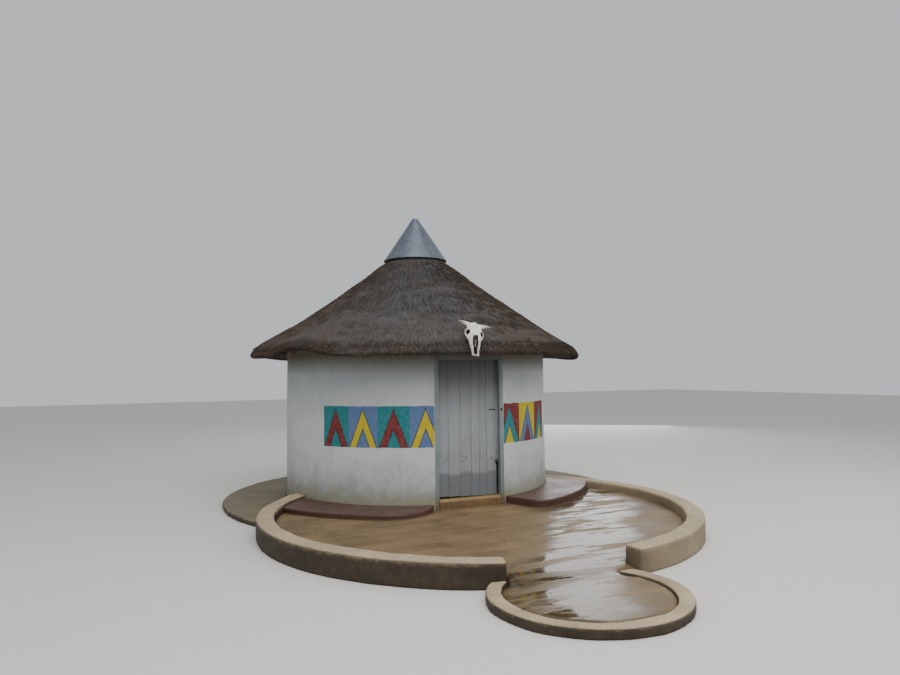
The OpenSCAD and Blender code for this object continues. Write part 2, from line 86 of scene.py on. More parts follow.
class RondavelColours(bpy.types.PropertyGroup):
    """Base colours of the hut's finishes."""

    limewash: colour("#c9ccca", "Limewash", "Clean limewashed plaster")
    splash: colour("#857f68", "Splash", "Mud and damp on the wall's foot")
    grass: colour("#444140", "Grass", "Weathered thatching grass")
    grass_brown: colour("#43382e", "Brown grass", "Less weathered grass at the eave")
    sheet: colour("#7a818b", "Sheet", "Dull galvanised sheet")
    boards: colour("#909497", "Boards", "Blue grey oil paint of the door")
    jambs: colour("#8a9798", "Frame", "Olive grey oil paint of the frame")
    ochre: colour("#6d5333", "Ochre", "Ochre cement of the threshold")
    polish: colour("#472a20", "Polish", "Oxide red floor polish of the benches")
    cement: colour("#756144", "Cement", "Trowelled cement of the stoep")
    kerb: colour("#a9977a", "Kerb", "Cement on top of the kerbs")
    # The kerbs' dark sides: moss and soil, and painted shade
    moss_and_shade: colour("#392e20", "Moss", "Moss and soil on the kerbs' sides")
    bone: colour("#ded8c8", "Bone", "Sun bleached bone")
    blue: colour("#4d678f", "Blue", "Blue of the painted frieze")
    teal: colour("#007075", "Teal", "Teal of the painted frieze")
    yellow: colour("#b5a300", "Yellow", "Yellow of the painted frieze")
    red: colour("#6e1515", "Red", "Dark red of the painted frieze")
    navy: colour("#232a36", "Navy", "Outlines of the painted frieze")


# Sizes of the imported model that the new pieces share, in metres
WALL_R, WALL_IN_R, WALL_TOP = 1.9, 1.68, 2.217
EAVE_R, EAVE_Z, RIM_R, RIM_Z = 2.33, 2.05796, 2.39, 2.1628
CAP_R, CAP_Z, CAP_H, CAP_TIP, RIDGE_Z = 0.46, 3.51736, 0.65, 0.04, 3.47236
PITCH = math.radians(33)
FRAME_HALF, FRAME_TOP, LEAF_HALF = 0.483, 2.055, 0.44
STOEP_X, STOEP_Y, STOEP_R = -0.082, -2.203, 2.584

# The painted frieze: a motif's width and the band's foot and top in metres, and how far up that height its peaks reach
MOTIF, FRIEZE_LOW, FRIEZE_HIGH, PEAK, CORE = 0.4, 0.905, 1.42, 0.93, 0.45
# Where it ends left and right of the door's middle, and the bare gap on both sides of that, in motifs
FRIEZE_LEFT, FRIEZE_RIGHT, FRIEZE_GAP = -5, 4, 1.23

# How much finer a pattern is along X, Y and Z for grain that runs upright or level
UPRIGHT, LEVEL = (60, 60, 2), (2, 60, 60)


# Working with objects


def mode(name):
    """Enters object mode or edit mode."""
    bpy.ops.object.mode_set(mode=name)


def fresh():
    """Leaves nothing selected, ready for a new primitive."""
    if bpy.context.object and bpy.context.object.mode != "OBJECT":
        mode("OBJECT")
    bpy.ops.object.select_all(action="DESELECT")


def drawn(operator, **settings):
    """A new object of one of Blender's own forms, lights or cameras, alone selected."""
    fresh()
    operator(**settings)
    return bpy.context.object


def only(obj):
    """Leaves obj the one selected and active object."""
    fresh()
    obj.select_set(True)
    bpy.context.view_layer.objects.active = obj


def settled(obj):
    """Puts an object's place, turn and size into its mesh."""
    only(obj)
    bpy.ops.object.transform_apply(location=True, rotation=True, scale=True)


def smoothed(obj, degrees=180):
    """Shades a surface smooth where its faces meet at less than an angle."""
    only(obj)
    if degrees < 180:
        bpy.ops.object.shade_smooth_by_angle(angle=math.radians(degrees))
    else:
        bpy.ops.object.shade_smooth()


def select_where(obj, of, test):
    """Enters edit mode with those vertices or polygons selected that pass the test."""
    only(obj)
    mode("EDIT")
    bpy.ops.mesh.select_mode(type={"vertices": "VERT", "polygons": "FACE"}[of])
    bpy.ops.mesh.select_all(action="DESELECT")
    mode("OBJECT")
    for element in getattr(obj.data, of):
        element.select = bool(test(element))
    mode("EDIT")


def modify(obj, kind, **settings):
    """Adds a modifier with its settings and applies it."""
    only(obj)
    modifier = obj.modifiers.new(kind.title(), kind)
    for name, value in settings.items():
        setattr(modifier, name, value)
    bpy.ops.object.modifier_apply(modifier=modifier.name)


def swell(obj, scale, strength, group="", depth=2):
    """Moves a surface in and out by a soft noise whose swellings are scale metres across."""
    texture = bpy.data.textures.new("swellings", "CLOUDS")
    texture.noise_scale, texture.noise_depth = scale, depth
    modify(obj, "DISPLACE", texture=texture, strength=strength, texture_coords="LOCAL", vertex_group=group)


def weigh(obj, name, weight):
    """A vertex group whose weights a function of the vertex gives."""
    group = obj.vertex_groups.new(name=name)
    for vertex in obj.data.vertices:
        group.add([vertex.index], min(1.0, max(0.0, weight(vertex))), "REPLACE")
    return name


def cut(obj, cutter):
    """Cuts the cutter's shape out of obj and removes the cutter."""
    modify(obj, "BOOLEAN", operation="DIFFERENCE", object=cutter, solver="EXACT")
    bpy.data.objects.remove(cutter)


def turned(outline, steps):
    """A round piece drawn up ring by ring along its closed outline, a list of radius and height in metres, with
    steps points round each ring."""
    radius, height = outline[0]
    obj = drawn(bpy.ops.mesh.primitive_circle_add, vertices=steps, radius=radius, location=(0, 0, height))
    settled(obj)
    mode("EDIT")
    bpy.ops.mesh.select_mode(type="EDGE")
    bpy.ops.mesh.select_all(action="SELECT")
    for wide, high in outline[1:] + outline[:1]:
        bpy.ops.mesh.extrude_region_move(TRANSFORM_OT_translate={"value": (0, 0, high - height)})
        bpy.ops.transform.resize(value=(wide / radius, wide / radius, 1), center_override=(0, 0, high))
        radius, height = wide, high
    mode("OBJECT")
    outward(obj)
    numbered(obj, outline, steps)
    return obj


def numbered(obj, outline, steps):
    """Numbers a turned piece's points ring by ring. Extruding leaves another order each run, and a straw's place
    follows from that order."""

    def ring_and_step(vertex):
        radius, height = vertex.co.xy.length, vertex.co.z
        off = [abs(wide - radius) + abs(high - height) for wide, high in outline]
        ring = off.index(min(off))
        return ring, round(math.atan2(vertex.co.y, vertex.co.x) * steps / (2 * math.pi)) % steps

    vertices = sorted(obj.data.vertices, key=ring_and_step)
    order = {vertex.index: i for i, vertex in enumerate(vertices)}
    points = [vertex.co.copy() for vertex in vertices]
    faces = []
    for face in obj.data.polygons:
        corners = [order[i] for i in face.vertices]
        first = corners.index(min(corners))
        faces.append(corners[first:] + corners[:first])
    obj.data.clear_geometry()
    obj.data.from_pydata(points, [], sorted(faces))
    obj.data.update()


def outward(obj):
    """Turns every face of a closed piece outwards."""
    select_where(obj, "polygons", lambda face: True)
    bpy.ops.mesh.remove_doubles(threshold=0.00005)
    bpy.ops.mesh.normals_make_consistent(inside=False)
    mode("OBJECT")


def refined(outline, step):
    """The same closed outline with points no further apart than step."""
    points = []
    for (r0, z0), (r1, z1) in zip(outline, outline[1:] + outline[:1]):
        count = max(1, math.ceil(math.hypot(r1 - r0, z1 - z0) / step))
        points += [(r0 + (r1 - r0) * i / count, z0 + (z1 - z0) * i / count) for i in range(count)]
    return points


def copied(node):
    """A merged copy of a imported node's mesh, its flat faces whole again."""
    fresh()
    obj = bpy.data.objects.new(node + "_copy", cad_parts[node].data.copy())
    bpy.context.scene.collection.objects.link(obj)
    obj.data.materials.clear()
    select_where(obj, "polygons", lambda face: True)
    bpy.ops.mesh.remove_doubles(threshold=0.00001)
    bpy.ops.mesh.dissolve_limited(angle_limit=math.radians(0.4))
    mode("OBJECT")
    return obj


def joined(objects):
    """Several objects as one mesh, in the first of them."""
    only(objects[0])
    for obj in objects:
        obj.select_set(True)
    if len(objects) > 1:
        bpy.ops.object.join()
    return objects[0]


def placed(obj, name, material, body="root", nodes=()):
    """Finishes a piece: its place goes into its mesh, and it rides on its body."""
    settled(obj)
    obj.name = obj.data.name = name
    obj.data.materials.clear()
    obj.data.materials.append(material)
    if nodes:
        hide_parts(*nodes)
    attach(obj, body)


def painted(material, *nodes):
    """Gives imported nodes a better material."""
    for node in nodes:
        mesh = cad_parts[node].data
        mesh.materials.clear()
        mesh.materials.append(material)


# Working with materials


def add(tree, kind, *values, stops=(), interpolation="LINEAR", **named):
    """Adds a node and returns its first output in use. Its kind may end in its operation, as in "Math:ADD".
    Values go to its sockets in order, or by a name with a capital, and outputs among them are linked. Names in
    small letters are the node's settings."""
    kind, _, operation = kind.partition(":")
    full = kind if kind.startswith(("Geometry", "Function", "NodeGroup")) else "ShaderNode" + kind
    node = tree.nodes.new(full)
    if operation:
        node.operation = operation
    if kind == "Mix":
        node.data_type = "RGBA"  # Every mix here is one of colours
    if stops:
        node.color_ramp.interpolation = interpolation
        elements = node.color_ramp.elements
        while len(elements) < len(stops):
            elements.new(0.5)
        for element, (place, value) in zip(elements, stops):
            element.position = place
            element.color = linear(value) if isinstance(value, str) else (value, value, value, 1)
    for name in [name for name in named if name[0].islower()]:
        setattr(node, name, named.pop(name))
    given = list(zip([socket for socket in node.inputs if socket.enabled], values))
    for socket, value in given + [(node.inputs[name], value) for name, value in named.items()]:
        if isinstance(value, bpy.types.NodeSocket):
            tree.links.new(value, socket)
        else:
            value = linear(value) if isinstance(value, str) and value.startswith("#") else value
            # A vector takes a colour without its alpha
            socket.default_value = value[:3] if socket.type == "VECTOR" else value
    return next(output for output in node.outputs if output.enabled)


def finish(name, **values):
    """A new material with its shader's uniform values. Returns it, add() for its tree and the Object coordinates."""
    material = bpy.data.materials.new(name)
    material.use_nodes = True
    shader = material.node_tree.nodes["Principled BSDF"]
    for key, value in values.items():
        shader.inputs[key if key == "IOR" else key.replace("_", " ").title()].default_value = value
    node = functools.partial(add, material.node_tree)
    return material, node, node("TexCoord").node.outputs["Object"]


def dressed(material, **outputs):
    """Links outputs to the sockets of a material's shader and returns the material."""
    tree = material.node_tree
    for name, output in outputs.items():
        tree.links.new(output, tree.nodes["Principled BSDF"].inputs[name.replace("_", " ")])
    return material


def shaded(node, base, pattern, low, high, dark, bright):
    """A colour times dark to bright, as a pattern goes from low to high."""
    return node("VectorMath:SCALE", base, node("MapRange", pattern, low, high, dark, bright))


def stained(node, base, stain, pattern, low, high, least, most):
    """A colour under a stain that shows from least to most, as a pattern goes from low to high."""
    return node("Mix", node("MapRange", pattern, low, high, least, most), base, stain)


def grain(node, at, along):
    """Wood's coordinates stretched along its grain, the grain, and the broad soiling over it."""
    stretched = node("Mapping", at, Scale=along)
    return stretched, node("TexNoise", stretched, 0.8, 6, 0.65, Distortion=0.4), node("TexNoise", at, 3.5, 5, 0.6)


def cracks(node, at, scale, width, dark):
    """Hairline cracks round slabs about 1 m across. The width is a share of a slab's, and dark is how much shows."""
    bent = node("Mix", 0.12, at, node("TexNoise", at, 3, 5).node.outputs["Color"], blend_type="ADD")
    slabs = node("TexVoronoi", bent, scale, feature="DISTANCE_TO_EDGE")
    return node("MapRange", slabs, 0, width, dark, 0)


def limewashed_plaster():
    """Limewash brushed on hand plaster: matte and cloudy, with grey damp and mud at its foot and a painted frieze."""
    tints = bpy.context.scene.rondavel_colours
    material, node, at = finish("limewashed_plaster", Roughness=0.9, IOR=1.5)
    x, y, z = node("SeparateXYZ", at).node.outputs
    # Soft clouds of old and new wash, 0.4 to 0.8 m across
    wash = shaded(node, tints.limewash, node("TexNoise", at, 1.7, 5, 0.6), 0.3, 0.7, 0.84, 1.04)
    # Mottling left by the brush, 30 to 60 mm
    mottle = node("TexNoise", at, 22, 6, 0.7)
    wash = shaded(node, wash, mottle, 0.3, 0.6, 0.88, 1)
    # Painted shade of the eave darkens the upper wall to a bluish grey; brown dust that no rain reaches lies under the
    # eave, deepened by painted shade
    wash = stained(node, wash, "#838e97", z, 1.2, 1.9, 0.06, 0.5)
    dust_and_shade = node("Math:MULTIPLY_ADD", mottle, 0.16, z)
    wash = stained(node, wash, "#5f5140", dust_and_shade, 1.9, 2.14, 0, 0.9)
    # A few thin rain streaks down from the eave
    streak = node("TexNoise", node("Mapping", at, Scale=(11, 11, 0.8)), 1, 4, 0.6)
    wash = stained(node, wash, "#84836f", streak, 0.6, 0.8, 0, 0.3)
    # The painted frieze: u counts motifs round the wall from the door's middle, v runs up its height
    wobble = node("MapRange", node("TexNoise", at, 9, 3), 0, 1, -0.02, 0.02)
    turn = node("Math:ARCTAN2", x, node("Math:MULTIPLY", y, -1))
    u = node("Math:MULTIPLY_ADD", turn, WALL_R / MOTIF, wobble)
    v = node("MapRange", z, FRIEZE_LOW, FRIEZE_HIGH, 0, 1, clamp=False)
    v = node("Math:ADD", v, wobble)
    inside = node("Math:GREATER_THAN", node("Math:ABSOLUTE", u), FRIEZE_GAP)
    ends = ((u, "GREATER", FRIEZE_LEFT), (u, "LESS", FRIEZE_RIGHT), (v, "GREATER", 0), (v, "LESS", 1))
    for value, side, limit in ends:
        within = node("Math:" + side + "_THAN", value, limit)
        inside = node("Math:MULTIPLY", inside, within)
    odd = node("Math:FLOORED_MODULO", node("Math:FLOOR", u), 2)
    right = node("Math:GREATER_THAN", u, 0)
    slope = node("MapRange", node("Math:FRACT", u), 0, 1, -1, 1)
    over = node("Math:ADD", v, node("Math:ABSOLUTE", slope))
    cool, warm, warmer = (
        node("Mix", odd, *pair)
        for pair in ((tints.blue, tints.teal), (tints.yellow, tints.red), (tints.red, tints.yellow))
    )
    # Each motif is a tall peak with a small one inside it, in other colours left and right, both outlined
    paint = node("Mix", right, cool, warm)
    for level, pair in ((PEAK, (warm, cool)), (CORE, (cool, warmer))):
        paint = node("Mix", node("Math:LESS_THAN", over, level), paint, node("Mix", right, *pair))
    for level in (PEAK, CORE):
        paint = node("Mix", node("Math:COMPARE", over, level, 0.028), paint, tints.navy)
    # The paint is thin at some brush marks
    brushed = node("MapRange", mottle, 0.4, 0.75, 1, 0.88)
    wall = node("Mix", node("Math:MULTIPLY", inside, brushed), wash, paint)
    # Grey damp in the lower half, and mud splashed up from the stoep
    rise = node("MapRange", z, 0.2, 1.1, 0.4, -0.2)
    damp = node("Math:ADD", node("TexNoise", at, 3.4, 9, 0.7), rise)
    wall = stained(node, wall, "#7b807c", damp, 0.53, 0.9, 0, 0.7)
    rise = node("MapRange", z, 0.16, 0.55, 0.72, -0.1)
    splash = node("Math:ADD", node("TexNoise", at, 6, 8, 0.75), rise)
    wall = stained(node, wall, tints.splash, splash, 0.58, 1.12, 0, 0.92)
    # Trowel marks 0.1 m wide under a brushed skin of 4 to 8 mm
    skin = node("Math:MULTIPLY_ADD", node("TexNoise", at, 130, 4, 0.7), 0.18, node("TexNoise", at, 9, 2))
    bump = node("Bump", Height=skin, Distance=0.006, Strength=0.9)
    return dressed(material, Base_Color=wall, Normal=bump)


def thatching_grass(name, loose):
    """Thatching grass combed and cut, weathered for years: dull grey brown, of stems too fine to tell apart."""
    tints = bpy.context.scene.rondavel_colours
    material, node, at = finish(name, Roughness=0.88, IOR=1.45)
    x, y, z = node("SeparateXYZ", at).node.outputs
    patch = node("TexNoise", at, 2, 5, 0.62)
    # The side towards the door has bleached grey; the flanks and the eave stay brown
    flat = node("CombineXYZ", x, y)
    facing = node("VectorMath:NORMALIZE", flat)
    facing = node("VectorMath:DOT_PRODUCT", facing, (-0.37, -0.93, 0))
    side = node("MapRange", facing, 0.3, 0.98, 0.75, 0)
    brown = node("Math:ADD", patch, node("MapRange", z, 2.08, 2.5, 0.22, 0))
    brown = node("Math:ADD", brown, side)
    base = stained(node, tints.grass, tints.grass_brown, brown, 0.5, 0.9, 0, 1)
    # Dark mould in patches, and painted shade that darkens the east side
    mould_and_shade = node("TexNoise", at, 4.2, 7, 0.7)
    mould_and_shade = node("Math:ADD", mould_and_shade, node("MapRange", x, 0.2, 2.2, 0, 0.3))
    base = shaded(node, base, mould_and_shade, 0.42, 0.8, 1.1, 0.6)
    # The lowest ends are painted paler: cut last, they are paler, and painted light lifts the eave's shaded lip
    base = shaded(node, base, z, 2.05, 2.15, 1.95, 1)
    # Cut ends and stems, really 3 to 4 mm across and drawn 20 mm across, coarse enough to show as grain
    ends = node("TexNoise", at, 48, 3, 0.75)
    if loose:
        own = node("Attribute", attribute_name="straw_shade").node.outputs["Fac"]
        grass = shaded(node, base, node("Math:MULTIPLY_ADD", ends, 2.4, own), 1.1, 2.3, 0.4, 1.66)
    else:
        # Bundles combed down the slope, 40 mm wide
        turn = node("Math:ARCTAN2", x, y)
        across = node("Math:MULTIPLY", turn, 45)
        along = node("Math:MULTIPLY", node("VectorMath:LENGTH", flat), 4)
        own = node("TexNoise", node("CombineXYZ", across, along, z), 1, 8, 0.72)
        grass = shaded(node, base, node("Math:MULTIPLY_ADD", ends, 4, own), 1.95, 3.05, 0.42, 1.62)
    height = node("Math:ADD", own, ends)
    bump = node("Bump", Height=height, Distance=0.003 if loose else 0.012, Strength=0.9)
    return dressed(material, Base_Color=grass, Normal=bump)


def galvanised_sheet():
    """Galvanised steel sheet gone dull: an even blue grey sheen, each sheet its own shade, rust at the foot."""
    tints = bpy.context.scene.rondavel_colours
    material, node, at = finish("galvanised_sheet")
    x, y, z = node("SeparateXYZ", at).node.outputs
    turn = node("Math:ARCTAN2", x, y)
    sheet = node("Math:MULTIPLY_ADD", turn, 4 / math.pi, 0.25)
    own = node("TexWhiteNoise", node("Math:FLOOR", sheet), noise_dimensions="1D")
    cloudy = node("TexNoise", at, 6, 5, 0.6)
    runs = node("TexNoise", node("Mapping", at, Scale=(26, 26, 1.2)), 1, 6, 0.7)
    shade = node("Math:MULTIPLY_ADD", own, 0.16, node("Math:ADD", cloudy, runs))
    tone = shaded(node, tints.sheet, shade, 0.75, 1.4, 0.82, 1.14)
    # Rust creeps up from the rolled foot and down a few runs
    rust = node("MapRange", z, CAP_Z, CAP_Z + 0.07, 0.12, 0)
    rust = node("MapRange", node("Math:ADD", runs, rust), 0.66, 0.78, 0, 0.8)
    tone = node("Mix", rust, tone, "#5d4a3c")
    bare = node("Math:SUBTRACT", 1, rust)
    gloss = node("MapRange", cloudy, 0.3, 0.7, 0.46, 0.62)
    bump = node("Bump", Height=cloudy, Distance=0.003, Strength=0.4)
    return dressed(material, Base_Color=tone, Metallic=bare, Roughness=gloss, Normal=bump)


def bitumen_felt():
    """Bitumen roofing felt, its mineral grit faded by the sun: black, matte and rough, its black also a painted shade
    in the gap under the cap's rim.
    """
    material, node, at = finish("bitumen_felt", Roughness=0.92, IOR=1.5)
    grit = node("TexNoise", at, 240, 2)
    tone = node("ValToRGB", grit, stops=[(0.35, "#131211"), (0.7, "#2c2927")])
    return dressed(material, Base_Color=tone, Normal=node("Bump", Height=grit, Distance=0.002))


def timber(name, pale, dark, wear=None, along=UPRIGHT, muddy=False):
    """Sawn timber, bare or under thin oil paint: long grain along one axis, and worn where the grain stands proud."""
    material, node, at = finish(name, IOR=1.5)
    stretched, rings, broad = grain(node, at, along)
    tone = shaded(node, node("Mix", rings, dark, pale), broad, 0.35, 0.7, 0.8, 1.08)
    if muddy:
        # Ochre mud has soaked into the jambs' feet
        z = node("SeparateXYZ", at).node.outputs[2]
        mud = node("Math:MULTIPLY_ADD", broad, 0.3, z)
        tone = stained(node, tone, "#75603f", mud, 0.36, 0.48, 0.85, 0)
    if wear:
        tone = stained(node, tone, wear, node("TexNoise", stretched, 0.7, 8, 0.8), 0.66, 0.7, 0, 0.7)
    dull = node("MapRange", rings, 0, 1, 0.62, 0.85)
    bump = node("Bump", Height=rings, Distance=0.0016, Strength=0.8)
    return dressed(material, Base_Color=tone, Roughness=dull, Normal=bump)


def door_paint():
    """Blue grey oil paint brushed on planed boards: chalky, each board a shade of its own, darker at the foot."""
    tints = bpy.context.scene.rondavel_colours
    material, node, at = finish("blue_grey_paint", IOR=1.5)
    x, _, z = node("SeparateXYZ", at).node.outputs
    stretched, rings, broad = grain(node, at, UPRIGHT)
    # One step for each board across the leaf: its shade, and how far up its foot was painted again
    across = node("MapRange", x, -LEAF_HALF, LEAF_HALF, 0, 1)
    starts = (0, 0.191, 0.372, 0.5555, 0.683, 0.8, 0.96)
    own, line = (
        node("ValToRGB", across, interpolation="CONSTANT", stops=list(zip(starts, steps)))
        for steps in ((0.42, 0.58, 0.5, 0.66, 0.45, 0.6, 0.35), (0.8, 0.35, 0.75, 0.4, 0.38, 0.68, 0.5))
    )
    shade = node("MapRange", own, 0, 1, 0.9, 1.1)
    # Soil, grain, and a darker top: some soot and dust, which the eave keeps dry, and mostly painted shade of the eave
    for pattern, *ends in ((broad, 0.3, 0.7, 0.9, 1.05), (rings, 0.3, 0.7, 0.86, 1.08), (z, 1.25, 1.95, 1, 0.42)):
        shade = node("Math:MULTIPLY", shade, node("MapRange", pattern, *ends))
    tone = node("VectorMath:SCALE", tints.boards, shade)
    # The foot's second coat ends at a brushed line near 0.56 m
    edge = node("Math:MULTIPLY_ADD", line, -0.06, z)
    edge = node("Math:MULTIPLY_ADD", node("TexNoise", at, 45, 4), 0.05, edge)
    tone = stained(node, tone, "#696d71", edge, 0.525, 0.568, 0.85, 0)
    # Scuffs where feet and loads rub, from 0.69 to 0.8 m
    marks = node("TexNoise", node("Mapping", at, Scale=(14, 14, 40)), 1, 6, 0.7)
    marks = node("MapRange", marks, 0.54, 0.62, 0, 0.7)
    rubbed = node("Math:MULTIPLY", node("Math:COMPARE", z, 0.745, 0.055), marks)
    tone = node("Mix", rubbed, tone, "#4f5357")
    # Chips down to grey wood along the grain
    tone = stained(node, tone, "#8b8472", node("TexNoise", stretched, 0.7, 8, 0.8), 0.68, 0.72, 0, 0.6)
    dull = node("MapRange", rings, 0, 1, 0.6, 0.8)
    bump = node("Bump", Height=rings, Distance=0.0016, Strength=0.8)
    return dressed(material, Base_Color=tone, Roughness=dull, Normal=bump)


def pole(name, pale, dark):
    """A peeled gum pole: dry grey brown wood with drying checks."""
    material, node, at = finish(name, Roughness=0.8, IOR=1.5)
    mottled = node("TexNoise", at, 14, 8, 0.7, Distortion=1.2)
    tone = node("ValToRGB", mottled, stops=[(0.3, dark), (0.7, pale)])
    return dressed(material, Base_Color=tone, Normal=node("Bump", Height=mottled, Distance=0.003))


def cast_cement(name, top, side, gloss=0.8, cracked=False, brow=None):
    """Cement cast and trowelled by hand: pale and rubbed on top, its sides darker with moss and soil and with painted
    shade. With a brow, its top edge's height in metres, the dark of its sides stops below it."""
    material, node, at = finish(name, Roughness=gloss, IOR=1.5)
    broad, fine = node("TexNoise", at, 2.4, 7, 0.65), node("TexNoise", at, 45, 6, 0.7)
    patchy, speckled = node("MapRange", broad, 0.3, 0.7, 0.72, 1.16), node("MapRange", fine, 0.3, 0.7, 0.9, 1.08)
    rubbed = node("VectorMath:SCALE", top, node("Math:MULTIPLY", patchy, speckled))
    # Moss and soil, with painted shade, darken the steep sides and creep over the edges
    creep = node("TexNoise", at, 11, 6, 0.7)
    mossy_and_shaded = shaded(node, side, node("Math:ADD", broad, creep), 0.75, 1.3, 0.55, 1.4)
    up = node("SeparateXYZ", node("NewGeometry").node.outputs["Normal"]).node.outputs[2]
    steep = node("MapRange", node("Math:MULTIPLY_ADD", creep, 0.9, up), 0.85, 1.3, 1, 0)
    if brow:
        # Moss and painted shade thin out towards the brow, and on the east side, which dries first
        x, _, z = node("SeparateXYZ", at).node.outputs
        high = node("Math:MULTIPLY_ADD", creep, -0.14, z)
        for fade in ((high, brow - 0.13, brow - 0.05, 1, 0.3), (x, 0, 0.6, 1, 0.4)):
            steep = node("Math:MULTIPLY", steep, node("MapRange", *fade))
    tone, height = node("Mix", steep, rubbed, mossy_and_shaded), fine
    if cracked:
        crack = cracks(node, at, 0.9, 0.004, 0.7)
        tone = node("Mix", crack, tone, "#2e2619")
        height = node("Math:SUBTRACT", fine, crack)
    bump = node("Bump", Height=height, Distance=0.003, Strength=0.7)
    return dressed(material, Base_Color=tone, Normal=bump)


def wet_cement():
    """Steel trowelled cement after rain: brown and streaked where it dries, a mirror of water towards the way out."""
    tints = bpy.context.scene.rondavel_colours
    material, node, at = finish("concrete", IOR=1.38)
    x, y, _ = node("SeparateXYZ", at).node.outputs
    # Streaks of drying silt, 0.1 m wide and near a metre long, across the fall
    streak = node("TexNoise", node("Mapping", at, Scale=(1.1, 6.5, 1)), 1, 7, 0.66, Distortion=0.5)
    broad, fine = node("TexNoise", at, 1.6, 6, 0.6), node("TexNoise", at, 45, 6, 0.7)
    shade = node("MapRange", node("Math:ADD", streak, broad), 0.75, 1.25, 0.58, 1.32)
    shade = node("Math:MULTIPLY", shade, node("MapRange", fine, 0.3, 0.7, 0.9, 1.08))
    tone = node("VectorMath:SCALE", tints.cement, shade)
    # The floor drains past the right of the door to the landing, where the rain stands
    drain = node("Math:MULTIPLY_ADD", y, -0.625, x)
    drain = node("Math:ADD", drain, node("MapRange", y, -4.5, -3.9, 0.75, 0))
    film = node("MapRange", node("Math:MULTIPLY_ADD", streak, 1.5, drain), 2.85, 3.2, 0, 1)
    # Past the drain the floor is only damp, pale with silt
    past = node("Math:MULTIPLY_ADD", y, -0.79, x)
    past = node("Math:MULTIPLY_ADD", broad, 1.2, past)
    film = node("Math:MULTIPLY", film, node("MapRange", past, 4.15, 4.7, 1, 0.2))
    # Islands that have dried within the wet
    held = node("MapRange", y, -4.6, -3.8, 0.5, 1)
    island = node("Math:MULTIPLY", node("MapRange", streak, 0.5, 0.55, 0, 0.95), held)
    film = node("Math:MULTIPLY", film, node("Math:SUBTRACT", 1, island))
    tone = shaded(node, tone, film, 0, 1, 1, 0.5)
    crack = cracks(node, at, 0.8, 0.003, 0.6)
    tone = node("Mix", crack, tone, "#2e2619")
    gloss = node("MapRange", film, 0, 1, 0.62, 0.03)
    # Water fills the trowel marks, so the relief dies away under it
    height = node("Math:SUBTRACT", fine, crack)
    height = node("Math:MULTIPLY", height, node("MapRange", film, 0, 1, 1, 0.05))
    bump = node("Bump", Height=height, Distance=0.003, Strength=0.7)
    return dressed(material, Base_Color=tone, Roughness=gloss, Normal=bump)


def floor_polish():
    """Oxide red wax polish on cement: deep maroon, paler and glossier on top, rubbed where people sit and with a
    painted sheen.
    """
    tints = bpy.context.scene.rondavel_colours
    material, node, at = finish("red_stoep_polish", IOR=1.5, Coat_weight=0.1, Coat_roughness=0.35)
    broad = node("TexNoise", at, 3, 7, 0.65)
    up = node("SeparateXYZ", node("NewGeometry").node.outputs["Normal"]).node.outputs[2]
    deep = shaded(node, tints.polish, broad, 0.3, 0.7, 0.8, 1.2)
    # The top is paler: rubbed by sitting, and a painted sheen
    tone = stained(node, deep, "#635244", node("Math:MULTIPLY", broad, up), 0.36, 0.7, 0, 0.6)
    # Silt has left a pale line along the foot
    z = node("SeparateXYZ", at).node.outputs[2]
    tone = stained(node, tone, "#83735c", z, 0.135, 0.156, 0.5, 0)
    gloss = node("MapRange", broad, 0.3, 0.7, 0.36, 0.62)
    bump = node("Bump", Height=node("TexNoise", at, 60, 5), Distance=0.002, Strength=0.6)
    return dressed(material, Base_Color=tone, Roughness=gloss, Normal=bump)


def forged_iron():
    """Black forged iron that has begun to rust: bare metal in places, brown and matte in others."""
    material, node, at = finish("black_iron")
    rust = node("TexNoise", at, 70, 8, 0.7)
    tone = node("ValToRGB", rust, stops=[(0.4, "#34322f"), (0.55, "#3d2f27"), (0.7, "#6a4028")])
    bare = node("MapRange", rust, 0.42, 0.56, 1, 0)
    dull = node("MapRange", rust, 0.4, 0.7, 0.45, 0.9)
    bump = node("Bump", Height=rust, Distance=0.001)
    return dressed(material, Base_Color=tone, Metallic=bare, Roughness=dull, Normal=bump)


def bleached_bone():
    """Bone bleached by the sun: chalky cream with open pores, its hollows darkened brown with painted shade."""
    tints = bpy.context.scene.rondavel_colours
    material, node, at = finish("bone", Roughness=0.62, IOR=1.5, Subsurface_weight=0.05)
    pores = node("TexNoise", at, 18, 8, 0.7)
    tone = shaded(node, tints.bone, pores, 0.28, 0.65, 0.62, 1.05)
    # Painted shade darkens the creases
    tone = stained(node, tone, "#5a4936", node("NewGeometry").node.outputs["Pointiness"], 0.4, 0.48, 0.85, 0)
    # Painted shade keeps the sockets and the nose dark, and the same mix browns the horns and the muzzle
    tone = node("Mix", node("Attribute", attribute_name="hollow").node.outputs["Fac"], tone, "#2a2119")
    bump = node("Bump", Height=pores, Distance=0.002, Strength=0.7)
    return dressed(material, Base_Color=tone, Normal=bump)


# Pieces


